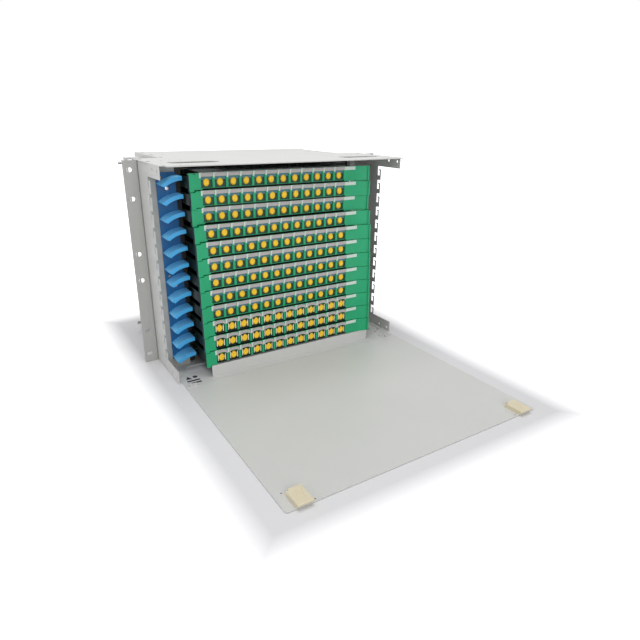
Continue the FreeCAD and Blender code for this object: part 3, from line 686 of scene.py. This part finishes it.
for module, place in enumerate(("upper", "lower")):
    top = GUIDE_TOP - module * MODULE_H
    base_low = top - MODULE_H + MODULE_GAP
    parts = [block(GUIDE_LEFT, GUIDE_RIGHT, GUIDE_FACE, GUIDE_FACE + GUIDE_BASE, base_low, top)]
    for i in range(ARMS):
        level = top - ARM_MARGIN - i * ARM_PITCH
        arm = arm_band(level, ARM_T, 0, 4, 13) + [(GUIDE_RIGHT + ARM_TIP, level - ARM_T)]
        parts.append(prism("y", GUIDE_FACE - ARM_REACH, GUIDE_FACE + 1, arm))
        lip = arm_band(level, ARM_LIP, -2, 0, 14)
        parts.append(prism("y", GUIDE_FACE - ARM_REACH, GUIDE_FACE - ARM_REACH + ARM_LIP_T, lip))
    bores = [(SCREW_INSET, SCREW_DROP, SCREW_HOLE_R), (SCREW_INSET, SCREW_DROP + SCREW_SPAN, SCREW_HOLE_R),
             (PEG_INSET, PEG_DROP, PEG_R)]
    holes = [prism("y", GUIDE_FACE - 1, GUIDE_FACE + 4, disc(GUIDE_LEFT + inset, top - drop, radius, 20))
             for inset, drop, radius in bores]
    guide = solid("guide_" + place, parts, holes, bevel=0.5)
    placed(guide, blue_abs, "case", "blue_plastic", "fibre_guide_" + place)
    # The base plates get painted shade.
    second_finish(guide, painted_shade_blue_abs, lambda middle, normal: middle.y > GUIDE_FACE * MM - 1e-5)
    # The arms' upper faces get painted light.
    second_finish(guide, painted_light_blue_abs, lambda middle, normal: (
        middle.y < (GUIDE_FACE - 1) * MM and normal.z > FACING_UP))
print("guides made")

# %% [markdown]
# ## Screws
# Pan-head screws hold the guides, and countersunk ones hold the covers to the tabs of the walls.
# A head is turned, so it is a profile spun round; its cross recess is cut in.

# %% Screw heads
PAN_PROFILE = [(1.7, 3.9), (1.7, 0), (3.3, 0), (3.3, -0.9), (2.9, -1.5), (2.2, -1.7)]
CROSS_HALF, CROSS_ARM, CROSS_BOTTOM = 2.0, 0.5, -0.6
SCREW_TURN, FIRST_SCREW_SEED = 0.7, 3


def spun(name, profile, sides=20, axis="y"):
    """A turned piece: (radius, along) points spun round an axis; the ends are closed."""
    mesh = bmesh.new()
    rings = []
    for radius, along in profile:
        ring = []
        for a, b in disc(0, 0, max(radius, 1e-4), sides):
            point = (a, along, b) if axis == "y" else (a, b, along)
            ring.append(mesh.verts.new([v * MM for v in point]))
        rings.append(ring)
    for ring, other in zip(rings, rings[1:]):
        for i in range(sides):
            j = (i + 1) % sides
            mesh.faces.new((ring[i], ring[j], other[j], other[i]))
    mesh.faces.new(rings[0])
    mesh.faces.new(rings[-1])
    bmesh.ops.recalc_face_normals(mesh, faces=mesh.faces)
    data = kept(name, mesh)
    data.shade_smooth()
    data.set_sharp_from_angle(angle=math.radians(BEND_ANGLE))
    return linked(name, data)


pan_head = spun("pan_head", PAN_PROFILE)
cross = [block(-CROSS_HALF, CROSS_HALF, -3, CROSS_BOTTOM, -CROSS_ARM, CROSS_ARM),
         block(-CROSS_ARM, CROSS_ARM, -3, CROSS_BOTTOM, -CROSS_HALF, CROSS_HALF),
         prism("y", -3, -0.8, disc(0, 0, 1.4, 12))]
boolean(pan_head, mesh_of("cross", cross), "DIFFERENCE")
screws = []
for module in range(2):
    high = GUIDE_TOP - module * MODULE_H - SCREW_DROP
    screws.append(row("screws_%d" % module, pan_head, (GUIDE_LEFT + SCREW_INSET, GUIDE_FACE, high), 2,
                      (0, 0, -SCREW_SPAN), zinc_plate, turn=SCREW_TURN, seed=FIRST_SCREW_SEED + module))
riding(joined("guide_fixings", screws), "case", "zinc_plated_steel", "guide_screws")
print("guide screws made")

# %% [markdown]
# ## Trays
# Each tray is one green moulding. Its front is a row of twelve cells between fins; at the left a
# block interlocks with the next tray, and at the right the wall sweeps forward so that cords
# leave in an easy curve. Behind the front lies a tub with a spool for spare fibre and splice ribs.

# %% Sizes of a tray
TRAY_LEFT, TRAY_RIGHT, TRAY_H, FRONT_T = -171.0, 154.0, 24.8, 7.5
TRAY_BACK, TUB_INSET, TUB_H, TUB_WALL = 214.0, 5, 17, 2
TUB_LEFT, TUB_RIGHT = TRAY_LEFT + TUB_INSET, TRAY_RIGHT - TUB_INSET
RUNNER_START, RUNNER_LOW, RUNNER_HIGH = 56, 9, 11
LUG_SEAT, LUG_H, LUG_TAPER = -163.4, 3.0, 1.0
BLOCK_TOP, UNDERCUT = TRAY_H - 0.9, TRAY_H - 1.6
PORTS, PITCH, FIN, CELL_FLOOR, CELL_H = 12, 21.7, 3.7, 2.2, 16.4
CELL_W = PITCH - FIN
FIRST_PORT = 27
PORTS_LEFT = TRAY_LEFT + FIRST_PORT - PITCH / 2
PORTS_RIGHT = PORTS_LEFT + PORTS * PITCH
SCOOP_START, SCOOP_W, SCOOP_REACH, SCOOP_SHARE, RIB = 120.6, 30.0, 8.0, 0.86, 3.4
print("a cell is", round(CELL_W, 2), "mm wide and the ports end at", round(PORTS_RIGHT, 2), "mm")

# %% One tray moulding
def port_x(port):
    """Middle of a port."""
    return PORTS_LEFT + (port + 0.5) * PITCH


def scoop_outline():
    """Plan of the swept right end: the curve, a groove before the rib, and the round rib."""
    radius = (SCOOP_W ** 2 + SCOOP_REACH ** 2) / (2 * SCOOP_REACH)
    angle = math.degrees(math.asin(SCOOP_W / radius))
    curve = arc(SCOOP_START, -radius, radius, 90, 90 - angle * SCOOP_SHARE, 12)
    end = curve[-1]
    rib_left = TRAY_RIGHT - RIB
    groove = [(end[0] + 0.3, end[1] + 1.6), (rib_left - 0.1, end[1] + 0.6)]
    rib = [(rib_left, -7.0)] + arc(TRAY_RIGHT - RIB / 2, -6.3, RIB / 2, 180, 360, 8)
    return curve + groove + rib + [(TRAY_RIGHT, 3), (SCOOP_START - 1, 3)]


def tray_moulding(name):
    """The green moulding of a tray, with its face at y = 0 and its underside at z = 0."""
    front_right = PORTS_RIGHT + FIN / 2
    block_right = PORTS_LEFT + FIN / 2
    notch = TRAY_H - LUG_H
    left_block = [(TRAY_LEFT, -LUG_H), (LUG_SEAT - LUG_TAPER, -LUG_H), (LUG_SEAT, 0), (block_right, 0),
                  (block_right, BLOCK_TOP), (LUG_SEAT + LUG_TAPER, BLOCK_TOP), (LUG_SEAT, UNDERCUT),
                  (LUG_SEAT, notch), (TRAY_LEFT, notch)]
    parts = [prism("y", 0, FRONT_T, left_block),
             block(block_right - 1, front_right, 0, FRONT_T, 0, TRAY_H),
             block(PORTS_RIGHT, SCOOP_START + 0.5, 0, 3, 0, TRAY_H),
             prism("z", 0, TRAY_H, scoop_outline()),
             block(TUB_LEFT, TUB_RIGHT, FRONT_T - 1, TRAY_BACK, 0, TUB_H),
             block(TUB_RIGHT - TUB_WALL, TUB_RIGHT, 2, FRONT_T, 0, TUB_H),
             block(front_right - 1, TUB_RIGHT, 2, FRONT_T, 0, 2),
             block(TRAY_LEFT + 0.5, TRAY_RIGHT - 0.5, RUNNER_START, TRAY_BACK, RUNNER_LOW, RUNNER_HIGH)]
    edge = arc(TRAY_LEFT + 1.6, 1.6, 1.6, 180, 270, 5)
    edge += [(TRAY_LEFT + 1.6, -1), (TRAY_LEFT - 1, -1), (TRAY_LEFT - 1, 1.6)]
    hollow = rounded(TUB_LEFT + TUB_WALL, TUB_RIGHT - TUB_WALL, FRONT_T, TRAY_BACK - TUB_WALL, 4)
    cuts = [prism("z", -5, 30, edge), prism("z", 2, 30, hollow)]
    for p in range(PORTS):
        x = port_x(p)
        cuts.append(block(x - CELL_W / 2, x + CELL_W / 2, -1, FRONT_T + 1, CELL_FLOOR, CELL_FLOOR + CELL_H))
    for x in (-120, -40, 40, 120):
        cuts.append(prism("y", TRAY_BACK - 3, TRAY_BACK + 1, rounded(x - 9, x + 9, 6, 20, 3)))
    cuts.append(block(PORTS_LEFT + FIN, PORTS_RIGHT, -1, 6.2, -1, 1.5))
    cuts.append(block(PORTS_LEFT + FIN, PORTS_RIGHT, -1, 0.8, -1, CELL_FLOOR))
    return solid(name, parts, cuts, bevel=0.35)


moulding = tray_moulding("tray_mould")
print("tray moulding has", len(moulding.data.polygons), "faces")

# %% Inside of the tub
SPOOL_R, SPOOL_BORE_R, SPOOL_TOP = 28, 6, 13
KEEPERS, KEEPER_R, KEEPER_LOW = 6, 4, 11.6
SPLICE_RIBS, SPLICE_PITCH, SPLICE_HALF, SPLICE_TOP = 3, 12, 30, 10
FLOOR_TOP = 1.5


def spool_parts():
    """The round spool, its keepers and the splice ribs inside the tub."""
    middle_y = (FRONT_T + TRAY_BACK) / 2
    x = TUB_RIGHT - (TUB_RIGHT - TUB_LEFT) / 4
    parts = [prism("z", FLOOR_TOP, SPOOL_TOP, disc(x, middle_y, SPOOL_R, 40))]
    for a, b in disc(x, middle_y, SPOOL_R + 2, KEEPERS):
        parts.append(prism("z", KEEPER_LOW, SPOOL_TOP, disc(a, b, KEEPER_R, 12)))
    cuts = [prism("z", 3.5, 20, disc(x, middle_y, SPOOL_R - 2, 40)),
            prism("z", -1, 20, disc(x, middle_y, SPOOL_BORE_R, 20))]
    y0, y1 = middle_y - SPLICE_HALF, middle_y + SPLICE_HALF
    for i in range(SPLICE_RIBS):
        rib = TUB_LEFT + (TUB_RIGHT - TUB_LEFT) / 3 + i * SPLICE_PITCH
        parts.append(block(rib - 1, rib + 1, y0, y1, FLOOR_TOP, SPLICE_TOP))
    return parts, cuts


def painted_shade_faces(middle, normal):
    """Faces given painted shade: the tub, the left end, the undercut and the top behind the edge."""
    x, y, z = [v / MM for v in middle]
    left_end = normal.x < -0.6 and x < TRAY_LEFT + 0.4
    undercut = y > 0.5 and -0.5 < z < CELL_FLOOR + 0.05 and PORTS_LEFT < x < PORTS_RIGHT
    top = normal.z > 0.6 and z > TRAY_H - 0.5 and y > 0.5
    return y > FRONT_T - 0.3 or left_end or undercut or top


inside = solid("tray_inside", *spool_parts(), bevel=0.3)
tray_mould = joined("tray_piece", [moulding, inside])
tray_mould.data.materials.clear()
tray_mould.data.materials.append(green_abs)
for face in tray_mould.data.polygons:
    face.material_index = 0
# The tub, the left end, the undercut and the tops behind the edge get painted shade.
second_finish(tray_mould, black_and_painted_shade_abs, painted_shade_faces)
print("whole tray has", len(tray_mould.data.polygons), "faces")

# %% [markdown]
# ## Ports
# Behind each cell stands an adapter, closed with a soft yellow dust cap. The cap is a round cup
# with a shallow dimple, pushed over the adapter's nose. The three lowest rows have another make
# of adapter, with a cream rim at each side of its nose, a pair of clips above and a larger cap.

# %% Caps and adapters
PORT_FACE = 2.6
CAP_PROFILE = [(5.0, 7.4), (5.3, 5.2), (5.2, 2.4), (4.7, 1.1), (3.6, 0.45), (2.0, 0.2), (1.3, 0.6)]
CAP_SCALE, TALL_CAP_SCALE, CAP_TURN = (0.94, 1, 1.17, 1), (1.1, 1, 1.1, 1), 0.12
FLANGE_HALF, FLANGE_LOW, LEDGE_LOW, FLANGE_HIGH = CELL_W / 2 - 0.15, -8.05, 3.4, 8.05
ADAPTER_HALF = 6.5
RIM_IN, RIM_OUT, RIM_LOW, RIM_HIGH = 5.7, 6.9, -5.4, 5.6
CLIP_IN, CLIP_OUT, CLIP_LOW, CLIP_HIGH = 2.6, 5.6, 4.2, 6.2
SILL_HALF = CELL_W / 2 - 0.1

cap = spun("cap", CAP_PROFILE, sides=16)
cap.data.transform(Matrix.Diagonal(CAP_SCALE))
tall_cap = copy_at(cap, "tall_cap")
tall_cap.data.transform(Matrix.Diagonal(TALL_CAP_SCALE))
flange = solid("flange", [block(-FLANGE_HALF, FLANGE_HALF, PORT_FACE, FRONT_T + 2, FLANGE_LOW, LEDGE_LOW),
                          block(-ADAPTER_HALF, ADAPTER_HALF, FRONT_T + 1, FRONT_T + 20,
                                -ADAPTER_HALF, ADAPTER_HALF)], bevel=0.3, segments=1)
ledge = solid("ledge", [block(-FLANGE_HALF, FLANGE_HALF, PORT_FACE - 1.0, FRONT_T + 2,
                              LEDGE_LOW, FLANGE_HIGH)], bevel=0.25, segments=1)
rim_outline = [(-RIM_OUT, RIM_HIGH), (-RIM_OUT, RIM_LOW), (RIM_OUT, -RIM_HIGH), (RIM_OUT, -RIM_LOW)]
rim = solid("rim", [prism("y", PORT_FACE - 2.3, PORT_FACE + 0.5, rim_outline)],
            [block(-RIM_IN, RIM_IN, PORT_FACE - 3, PORT_FACE + 2, -9, 9)], bevel=0.2, segments=1)
clips = mesh_of("clips", [block(x, x + CLIP_OUT - CLIP_IN, PORT_FACE - 2.6, PORT_FACE + 0.2,
                                CLIP_LOW, CLIP_HIGH) for x in (-CLIP_OUT, CLIP_IN)])
softened(clips, 0.3, 1)
sill = solid("sill", [block(-SILL_HALF, SILL_HALF, 0.4, 2.2, -CELL_H / 2 - 0.1, -CELL_H / 2 + 0.6)],
             bevel=0.15, segments=1)


def port_pieces(name, seed, rimmed):
    """Twelve capped adapters as one mesh, at the tray's own zero."""
    start, step = (port_x(0), 0, CELL_FLOOR + CELL_H / 2), (PITCH, 0, 0)
    if rimmed:
        # Flange and ledge carry painted shade, and the clips the near-black plastic of the tub.
        kinds = [(tall_cap, yellow_pvc), (flange, cell_painted_shade_plastic), (ledge, cell_painted_shade_plastic), (rim, cream_rim),
                 (clips, black_and_painted_shade_abs)]
    else:
        # The flange carries painted shade; the ledge carries the painted bluish grey of the strip's shade and
        # reflection.
        kinds = [(cap, yellow_pvc), (flange, cell_painted_shade_plastic), (ledge, strip_painted_shade_slate), (sill, green_abs)]
    rows = []
    for i, (piece, finish) in enumerate(kinds):
        turn = CAP_TURN if piece in (cap, tall_cap) else 0.0
        rows.append(row("%s_%d" % (name, i), piece, start, PORTS, step, finish, turn=turn, seed=seed))
    return joined(name, rows)


print("a cap has", len(cap.data.polygons), "faces")

# %% [markdown]
# ## Label holders
# A grey strip runs over each cell, with a white clip at every fin and one bare label at the end.
# The three lowest trays carry another kind of strip, whose underside is arched.

# %% Strips
STRIP_LOW = CELL_FLOOR + CELL_H
STRIP_T, GROOVE_BACK, GROOVE_H = 1.1, -0.75, 0.5
ARCH_R, ARCH_TOP = 14.6, STRIP_LOW + 1.2
CROWN_R, CROWN_TOP = 20, TRAY_H - 0.2
SHOULDER = TRAY_H - 3.2
CLIP_HALF, CLIP_T = 1.3, 1.2


def strip_segment(arched):
    """The strip over one cell, up to the clip of the next."""
    half = CELL_W / 2 + 0.6
    if arched:
        under = arc(0, ARCH_TOP - ARCH_R, ARCH_R, 52, 128, 8)
        over = arc(0, CROWN_TOP - CROWN_R, CROWN_R, 62, 118, 8)
        outline = [(half, STRIP_LOW - 1.5), (half, SHOULDER)] + over
        outline += [(-half, SHOULDER), (-half, STRIP_LOW - 1.5)] + list(reversed(under))
    else:
        z0, z1 = STRIP_LOW + 0.4, TRAY_H - 0.3
        outline = [(-half, z0), (half, z0), (half, z1), (-half, z1)]
    return prism("y", -STRIP_T, 0, outline)


def strip_pieces(name, arched):
    """A whole label holder at the tray's own zero."""
    grooves = [block(-CELL_W, CELL_W, -2, GROOVE_BACK, z, z + GROOVE_H)
               for z in (STRIP_LOW + 2.0, TRAY_H - 1.7)]
    segment = solid(name + "_segment", [strip_segment(arched)], grooves, bevel=0.12)
    clip = solid(name + "_clip", [block(-CLIP_HALF, CLIP_HALF, -CLIP_T, 0, STRIP_LOW - 1.6, TRAY_H - 0.2),
                                  block(-CLIP_HALF, 3.2, -CLIP_T, 0, TRAY_H - 1.4, TRAY_H - 0.2)], bevel=0.25)
    start, end = PORTS_RIGHT - 1.0, SCOOP_START + 7.5
    plan = [(start, -CLIP_T), (end - 1, -CLIP_T), (end, -0.3), (SCOOP_START, 0), (start, 0)]
    label = solid(name + "_label", [prism("z", STRIP_LOW + 0.2, TRAY_H - 0.4, plan)], bevel=0.2)
    label.data.materials.append(white_pvc)
    segments = row(name + "_segments", segment, (port_x(0), 0, 0), PORTS, (PITCH, 0, 0), frosted_pvc)
    clips = row(name + "_clips", clip, (PORTS_LEFT + 0.6, 0, 0), PORTS, (PITCH, 0, 0), white_pvc)
    made = joined(name, [segments, clips, label])
    bpy.data.objects.remove(segment)
    bpy.data.objects.remove(clip)
    return made


flat_strip = strip_pieces("flat_strip", False)
arched_strip = strip_pieces("arched_strip", True)
print("faces of a flat and an arched strip:", len(flat_strip.data.polygons), len(arched_strip.data.polygons))

# %% Put the trays in their places
STACK_BASE, TRAY_PITCH, TRAYS, RIMMED_TRAYS = 22.5, 25.4, 12, 3
CORNER_R = 2

corner_low = TRAY_H - LUG_H - 0.1
corner_outline = [(TRAY_LEFT, corner_low), (LUG_SEAT + 2, corner_low), (LUG_SEAT + 2, BLOCK_TOP)]
corner_outline += arc(TRAY_LEFT + CORNER_R, BLOCK_TOP - CORNER_R, CORNER_R, 90, 180, 5)
corner = solid("top_corner", [prism("y", 0, FRONT_T, corner_outline)], bevel=0.3)
corner.data.materials.append(green_abs)
for index in range(TRAYS):
    number = "%02d" % (index + 1)
    rimmed = index >= TRAYS - RIMMED_TRAYS
    body = "tray_body_" + number
    strip_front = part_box("label_strip_" + number)[0].y / MM
    offset = (0, strip_front + CLIP_T, STACK_BASE + (TRAYS - 1 - index) * TRAY_PITCH)
    tray = copy_at(tray_mould, "tray_moulding_" + number, offset)
    if index == 0:
        tray = joined("tray_moulding_01", [tray, copy_at(corner, "corner_01", offset)])
    riding(tray, body, "green_plastic", "tray_" + number)
    made = port_pieces("port_row_" + number, index, rimmed)
    made.data.transform(Matrix.Translation(Vector(offset) * MM))
    riding(made, body, "yellow_plastic", "ports_" + number)
    strip = copy_at(arched_strip if rimmed else flat_strip, "label_holder_" + number, offset)
    riding(strip, body, "clear_label_strip", "label_strip_" + number)
for thing in (tray_mould, flat_strip, arched_strip, corner, cap, tall_cap, flange, ledge, rim, clips, sill):
    bpy.data.objects.remove(thing)
print(TRAYS, "trays placed")

# %% [markdown]
# ## Clear cover
# The top tray is closed with a clear sheet, folded down at both sides onto the walls of its tub.

# %% Cover of the top tray
TOP_TRAY = (0, FRONT + 14, STACK_BASE + (TRAYS - 1) * TRAY_PITCH)
COVER_T, COVER_INSET, COVER_DEPTH, NOTCH_DEPTH = 1.4, 6, 160, 60

outside = [(TRAY_LEFT + COVER_INSET, TUB_H), (TRAY_LEFT + COVER_INSET, TRAY_H + COVER_T),
           (TRAY_RIGHT - COVER_INSET, TRAY_H + COVER_T), (TRAY_RIGHT - COVER_INSET, TUB_H)]
within = [(TRAY_RIGHT - COVER_INSET - COVER_T, TUB_H), (TRAY_RIGHT - COVER_INSET - COVER_T, TRAY_H),
          (TRAY_LEFT + COVER_INSET + COVER_T, TRAY_H), (TRAY_LEFT + COVER_INSET + COVER_T, TUB_H)]
notches = [block(x0, x1, -1, NOTCH_DEPTH, 10, TRAY_H + 3)
           for x0, x1 in ((TRAY_LEFT, PORTS_LEFT + 2), (PORTS_RIGHT + 3, TRAY_RIGHT))]
cover = solid("tray_cover", [prism("y", 1.0, COVER_DEPTH, outside + within)], notches, bevel=0.3)
cover.data.transform(Matrix.Translation(Vector(TOP_TRAY) * MM))
placed(cover, clear_pc, "tray_body_01", "clear_label_strip")
print("clear cover made")

# %% [markdown]
# ## Front sill
# A folded sheet closes the gap under the lowest tray. It stands on the bottom cover, just behind
# its nose, and its top fold keeps a millimetre of room under the tray that slides over it.

# %% Sill under the trays
SILL_LEFT, SILL_RIGHT = LUG_SEAT + 1.4, TRAY_RIGHT + 1
SILL_FACE, SILL_FOLD, SILL_TOP = -117.0, 20, STACK_BASE - 1.2

fold = [(SILL_FACE, SHEET), (SILL_FACE, SILL_TOP),
        (SILL_FACE + SILL_FOLD, SILL_TOP), (SILL_FACE + SILL_FOLD, SILL_TOP - SHEET),
        (SILL_FACE + SHEET, SILL_TOP - SHEET), (SILL_FACE + SHEET, SHEET)]
sill_sheet = solid("front_sill", [prism("x", SILL_LEFT, SILL_RIGHT, fold)], bevel=0.5)
placed(sill_sheet, grey_coat, "case", "light_grey_powder_coat")
print("front sill made")

# %% [markdown]
# ## Earth studs
# A threaded stud with its nut stands at both ends of each cable anchor. Their solids are right, and
# a small bevel gives the zinc plate an edge that catches the light.

# %% Dress the studs
dressed("earth_studs", "studs_and_nuts", zinc_plate, "case", "zinc_plated_steel", bevel=0.3)
print("earth studs dressed")

# %% [markdown]
# ## Case screws and print
# Countersunk screws hold both covers, flush with the sheet. Pan-head screws hold the ears and the
# rear cover from the sides. Beside the door's hinge the bottom cover carries a small print, kept
# here as plain shapes and bars without words.

# %% Case screws
SUNK_PROFILE = [(1.6, -4.0), (1.6, -0.9), (3.7, -0.85), (3.7, -0.1)]
SUNK_CROSS_HALF, SUNK_CROSS_ARM, SUNK_CROSS_BOTTOM = 1.9, 0.35, -0.7
EAR_THICK = 2
SIDE_SCREWS = 4


def turned_head(head, name, degrees, axis):
    """A copy of a screw head turned about an axis."""
    other = copy_at(head, name)
    other.data.transform(Matrix.Rotation(math.radians(degrees), 4, axis))
    return other


sunk_head = spun("sunk_head", SUNK_PROFILE, axis="z")
sunk_cross = [block(-SUNK_CROSS_HALF, SUNK_CROSS_HALF, -SUNK_CROSS_ARM, SUNK_CROSS_ARM, SUNK_CROSS_BOTTOM, 1),
              block(-SUNK_CROSS_ARM, SUNK_CROSS_ARM, -SUNK_CROSS_HALF, SUNK_CROSS_HALF, SUNK_CROSS_BOTTOM, 1)]
boolean(sunk_head, mesh_of("cross", sunk_cross), "DIFFERENCE")
under_head = turned_head(sunk_head, "under_head", 180, "X")
left_head = turned_head(pan_head, "left_head", -90, "Z")
right_head = turned_head(pan_head, "right_head", 90, "Z")
screws = []
for s, head in ((-1, left_head), (1, right_head)):
    for x, y in SCREW_PLACES:
        screws.append(row("top_screw", sunk_head, (s * x, y, CASE_H), 1, (0, 0, 0), black_coat))
        screws.append(row("bottom_screw", under_head, (s * x, y, 0), 1, (0, 0, 0), black_coat))
    at_ear, at_rear = (s * (HALF_W + EAR_THICK), 15, 38), (s * HALF_REAR, CASE_BACK - 7.5, 35)
    screws.append(row("ear_screws", head, at_ear, SIDE_SCREWS, (0, 0, 88), zinc_plate))
    screws.append(row("rear_screws", head, at_rear, SIDE_SCREWS, (0, 0, 90), zinc_plate))
riding(joined("case_fixings", screws), "case", "zinc_plated_steel")
for thing in (sunk_head, under_head, left_head, right_head, pan_head):
    bpy.data.objects.remove(thing)
print("case screws made")

# %% Plain print on the bottom cover
INK_TOP = SHEET + 0.25
BAR_LEFT, BAR_RIGHT, BAR_HALF = -204.5, -183, 2.1

marks = [block(BAR_LEFT, BAR_RIGHT, y - BAR_HALF, y + BAR_HALF, SHEET, INK_TOP) for y in (-113.6, -121.8)]
marks += [prism("z", SHEET, INK_TOP, [(-204.0, -106.8), (-194.0, -106.8), (-199, -97.0)]),
          prism("z", SHEET, INK_TOP, disc(-187.5, -102.0, 4.0, 20))]
ink = mesh_of("plain_print", marks)
softened(ink, 0)
placed(ink, print_ink, "case", "black_steel")
print("plain print made")
